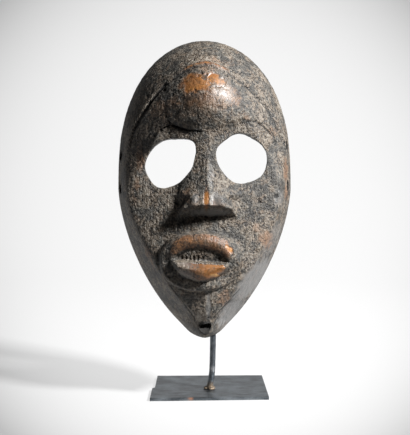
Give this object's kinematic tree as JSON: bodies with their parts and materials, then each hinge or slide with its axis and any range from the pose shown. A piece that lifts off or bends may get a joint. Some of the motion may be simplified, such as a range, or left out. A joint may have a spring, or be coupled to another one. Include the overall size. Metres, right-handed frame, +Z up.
{
  "type": "carved mask on stand",
  "caption": "Hollow carved wooden face mask with round open eyes, wedge nose and full lips, held upright on a bent steel rod welded to a flat steel foot plate.",
  "frame": {"origin": "underside of the foot plate, on its middle as near as its uneven outline allows", "axes": "+Z up; the face looks along -Y; +X is to the right of someone facing the mask"},
  "size_m": [0.1384, 0.1018, 0.2822],
  "materials": {
    "dark_wood": "hand-carved hardwood with a crusty dark patina, rubbed to bare brown wood on the forehead, nose ridge and lips",
    "rod_steel": "blackened round steel bar, unpolished, with brown weld lumps at its foot",
    "dark_steel": "blackened flat steel with faint streaks and a touch of rust"
  },
  "bodies": {
    "root": {"mask": "dark_wood", "rod": "rod_steel", "plate": "dark_steel"}
  },
  "joints": []
}
